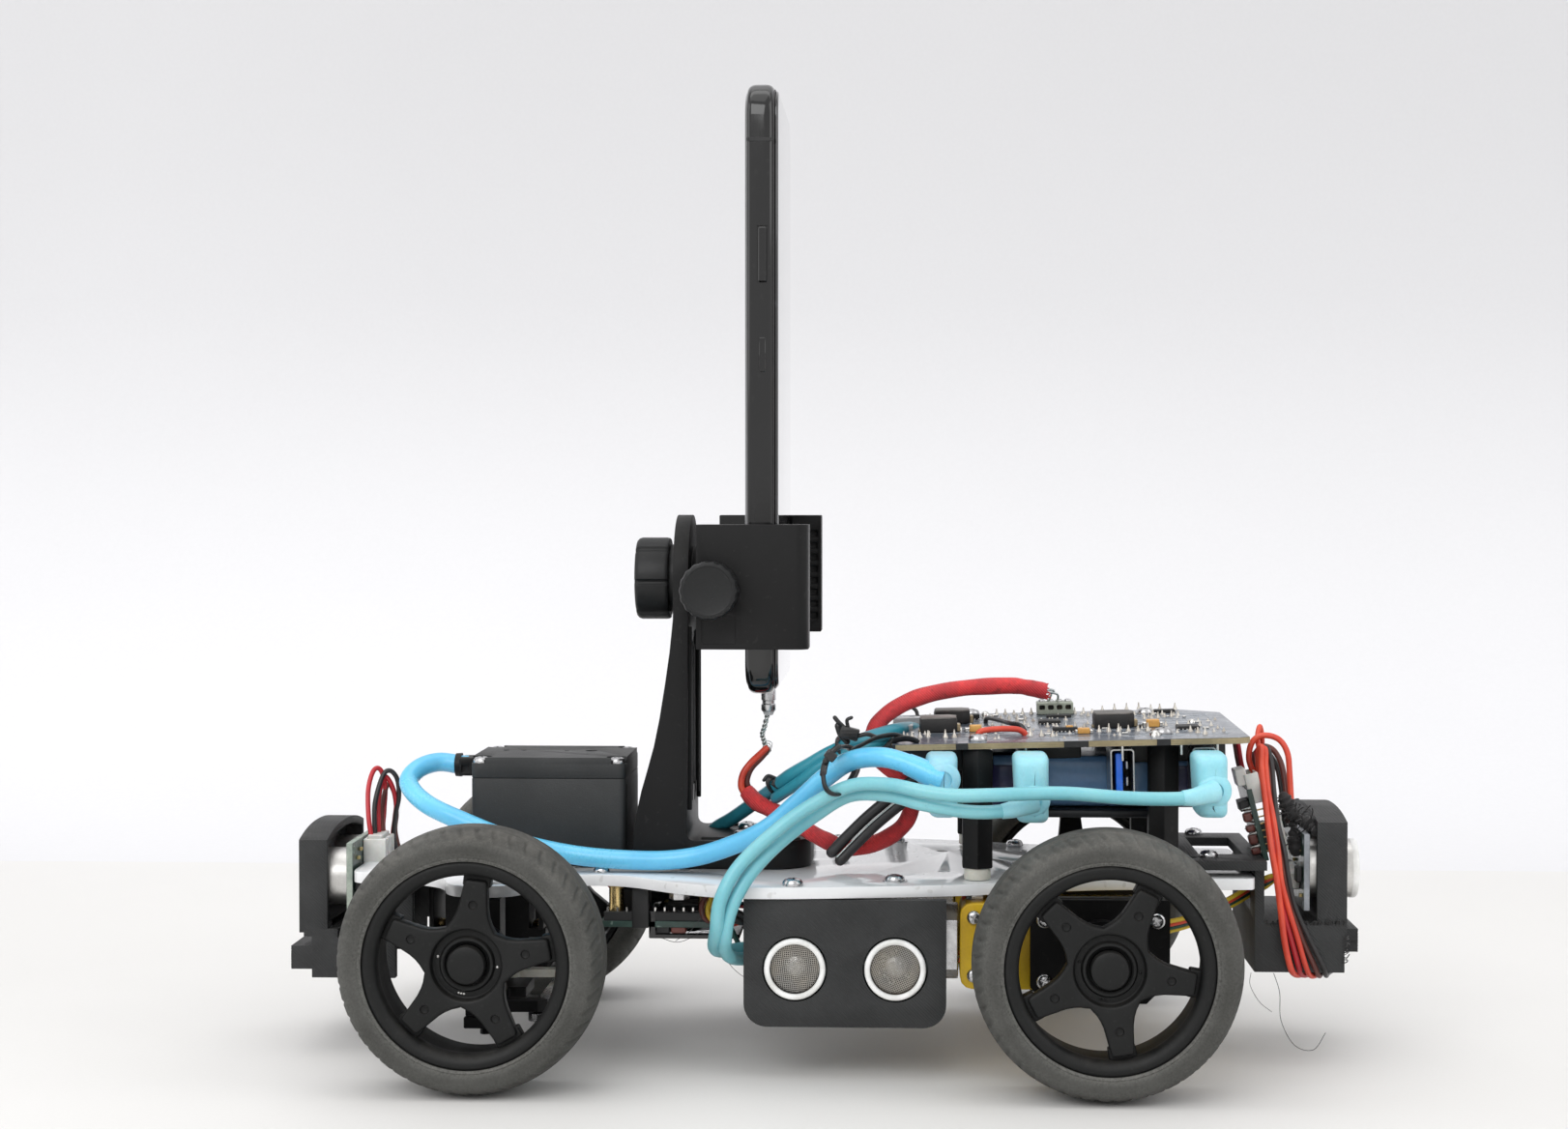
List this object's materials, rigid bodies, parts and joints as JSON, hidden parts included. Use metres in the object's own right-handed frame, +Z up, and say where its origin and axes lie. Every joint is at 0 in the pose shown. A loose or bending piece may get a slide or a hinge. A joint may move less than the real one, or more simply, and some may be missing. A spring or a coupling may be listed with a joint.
{
  "type": "robot car with phone clamp",
  "caption": "Small steerable robot car on a thin acrylic deck, with distance sensors on every side and a clamp that holds a phone upright.",
  "frame": {"origin": "middle of the footprint, on the ground under the tyres", "axes": "+Z up; -X towards the steered end with the small electronics box, +X towards the driven end; -Y is the left side"},
  "size_m": [0.2886, 0.158, 0.2603],
  "materials": {
    "white_acrylic": "glossy white acrylic sheet",
    "black_print": "black printed plastic with fine layer lines",
    "black_mould": "satin black moulded plastic",
    "rubber": "matt dark grey rubber",
    "rim_plastic": "matt black moulded plastic",
    "yellow_plastic": "semi-gloss yellow moulded plastic",
    "steel": "bright steel",
    "brass": "plain brass",
    "dark_pcb": "dark blue-grey solder mask on glass fibre",
    "green_pcb": "green solder mask on glass fibre",
    "sky_blue": "sky blue soft cable jacket",
    "turquoise": "turquoise soft cable jacket",
    "red_sleeve": "matt red shrink sleeve",
    "blue_film": "steel blue shrink film",
    "screen_glass": "polished black glass",
    "phone_black": "polished black case",
    "gear_nylon": "off-white nylon",
    "charcoal": "charcoal plastic with a fine grain",
    "grey_strip": "light grey satin"
  },
  "bodies": {
    "root": {"deck": "white_acrylic", "phone_stand": "black_mould", "standoff_front_left": "black_mould", "standoff_front_right": "black_mould", "standoff_rear_left": "black_mould", "standoff_rear_right": "black_mould", "axle_beam": "black_mould", "steering_servo": "black_mould", "box_base": "charcoal", "box_lid": "charcoal", "box_circuit_board": "green_pcb", "controller_board": "green_pcb", "side_sensor_left": "green_pcb", "side_sensor_right": "green_pcb", "front_sensor": "green_pcb", "rear_sensor": "green_pcb", "main_board": "dark_pcb", "battery_pack": "blue_film", "side_bracket_left": "black_print", "side_bracket_right": "black_print", "front_bracket": "black_print", "rear_bracket": "black_print", "motor_mount_left": "black_print", "motor_mount_right": "black_print", "gearbox_left": "yellow_plastic", "gearbox_right": "yellow_plastic", "motor_can_left": "steel", "motor_can_right": "steel", "blue_cable": "sky_blue", "turquoise_cable_a": "turquoise", "turquoise_cable_b": "turquoise", "power_lead": "red_sleeve"},
    "knuckle_body_left": {"knuckle_left": "black_mould"},
    "knuckle_body_right": {"knuckle_right": "black_mould"},
    "front_wheel_left": {"rim_front_left": "rim_plastic", "tyre_front_left": "rubber"},
    "front_wheel_right": {"rim_front_right": "rim_plastic", "tyre_front_right": "rubber"},
    "rear_wheel_left": {"rim_rear_left": "rim_plastic", "tyre_rear_left": "rubber", "axle_gear_left": "gear_nylon"},
    "rear_wheel_right": {"rim_rear_right": "rim_plastic", "tyre_rear_right": "rubber", "axle_gear_right": "gear_nylon"},
    "compound_left": {"compound_gear_left": "gear_nylon"},
    "compound_right": {"compound_gear_right": "gear_nylon"},
    "crown_left": {"crown_gear_left": "gear_nylon"},
    "crown_right": {"crown_gear_right": "gear_nylon"},
    "pinion_left": {"motor_pinion_left": "brass"},
    "pinion_right": {"motor_pinion_right": "brass"},
    "horn": {"servo_horn": "gear_nylon"},
    "rod": {"tie_rod": "grey_strip"},
    "clamp": {"clamp_body": "black_mould", "phone_body": "phone_black", "phone_screen": "screen_glass", "phone_plug": "steel"},
    "jaw": {"clamp_jaw": "black_mould"},
    "clamp_screw_body": {"clamp_screw": "black_mould"},
    "knob": {"clamp_knob": "black_mould"},
    "key": {"volume_key": "phone_black"}
  },
  "joints": [
    {"name": "steer_left", "type": "hinge", "parent": "root", "child": "knuckle_body_left", "pos_m": [-0.08757, -0.046, 0.034], "axis": [0, 0, 1], "range_deg": [-22, 22]},
    {"name": "front_wheel_spin_left", "type": "hinge", "parent": "knuckle_body_left", "child": "front_wheel_left", "pos_m": [-0.08757, -0.066, 0.034], "axis": [0, 1, 0], "continuous": true},
    {"name": "rear_wheel_spin_left", "type": "hinge", "parent": "root", "child": "rear_wheel_left", "pos_m": [0.07297, -0.066, 0.034], "axis": [0, 1, 0], "continuous": true},
    {"name": "compound_gear_spin_left", "type": "hinge", "parent": "root", "child": "compound_left", "pos_m": [0.06177, -0.0335, 0.034], "axis": [0, 1, 0], "continuous": true},
    {"name": "crown_gear_spin_left", "type": "hinge", "parent": "root", "child": "crown_left", "pos_m": [0.05056, -0.0335, 0.034], "axis": [0, 1, 0], "continuous": true},
    {"name": "motor_shaft_spin_left", "type": "hinge", "parent": "root", "child": "pinion_left", "pos_m": [0.0427, -0.0335, 0.034], "axis": [1, 0, 0], "continuous": true},
    {"name": "steer_right", "type": "hinge", "parent": "root", "child": "knuckle_body_right", "pos_m": [-0.08757, 0.046, 0.034], "axis": [0, 0, 1], "range_deg": [-22, 22]},
    {"name": "front_wheel_spin_right", "type": "hinge", "parent": "knuckle_body_right", "child": "front_wheel_right", "pos_m": [-0.08757, 0.066, 0.034], "axis": [0, 1, 0], "continuous": true},
    {"name": "rear_wheel_spin_right", "type": "hinge", "parent": "root", "child": "rear_wheel_right", "pos_m": [0.07297, 0.066, 0.034], "axis": [0, 1, 0], "continuous": true},
    {"name": "compound_gear_spin_right", "type": "hinge", "parent": "root", "child": "compound_right", "pos_m": [0.06177, 0.0335, 0.034], "axis": [0, 1, 0], "continuous": true},
    {"name": "crown_gear_spin_right", "type": "hinge", "parent": "root", "child": "crown_right", "pos_m": [0.05056, 0.0335, 0.034], "axis": [0, 1, 0], "continuous": true},
    {"name": "motor_shaft_spin_right", "type": "hinge", "parent": "root", "child": "pinion_right", "pos_m": [0.0427, 0.0335, 0.034], "axis": [1, 0, 0], "continuous": true},
    {"name": "servo_horn_turn", "type": "hinge", "parent": "root", "child": "horn", "pos_m": [-0.08757, 0, 0.034], "axis": [0, 0, 1], "range_deg": [-22, 22]},
    {"name": "tie_rod_pivot", "type": "hinge", "parent": "knuckle_body_left", "child": "rod", "pos_m": [-0.07357, -0.046, 0.0153], "axis": [0, 0, 1], "range_deg": [-22, 22]},
    {"name": "clamp_roll", "type": "hinge", "parent": "root", "child": "clamp", "pos_m": [-0.0273, 0, 0.1286], "axis": [1, 0, 0], "range_deg": [-90, 90]},
    {"name": "clamp_knob_turn", "type": "hinge", "parent": "root", "child": "knob", "pos_m": [-0.0473, 0, 0.1286], "axis": [1, 0, 0], "range_deg": [0, 360]},
    {"name": "clamp_screw_turn", "type": "hinge", "parent": "clamp", "child": "clamp_screw_body", "pos_m": [-0.0284, 0, 0.1271], "axis": [0, -1, 0], "range_deg": [0, 1440]},
    {"name": "jaw_slide", "type": "slide", "parent": "clamp", "child": "jaw", "axis": [0, 1, 0], "range_m": [0, 0.012]},
    {"name": "volume_key_press", "type": "slide", "parent": "clamp", "child": "key", "axis": [0, 1, 0], "range_m": [0, 0.0003]}
  ],
  "couplings": [
    {"joint": "compound_gear_spin_left", "follows": "rear_wheel_spin_left", "ratio": -2.5},
    {"joint": "crown_gear_spin_left", "follows": "rear_wheel_spin_left", "ratio": 6.25},
    {"joint": "motor_shaft_spin_left", "follows": "rear_wheel_spin_left", "ratio": 15.625},
    {"joint": "compound_gear_spin_right", "follows": "rear_wheel_spin_right", "ratio": -2.5},
    {"joint": "crown_gear_spin_right", "follows": "rear_wheel_spin_right", "ratio": 6.25},
    {"joint": "motor_shaft_spin_right", "follows": "rear_wheel_spin_right", "ratio": -15.625},
    {"joint": "steer_right", "follows": "steer_left", "ratio": 1},
    {"joint": "servo_horn_turn", "follows": "steer_left", "ratio": 1},
    {"joint": "tie_rod_pivot", "follows": "steer_left", "ratio": -1},
    {"joint": "clamp_screw_turn", "follows": "jaw_slide", "rad_per_m": 2094.4}
  ]
}
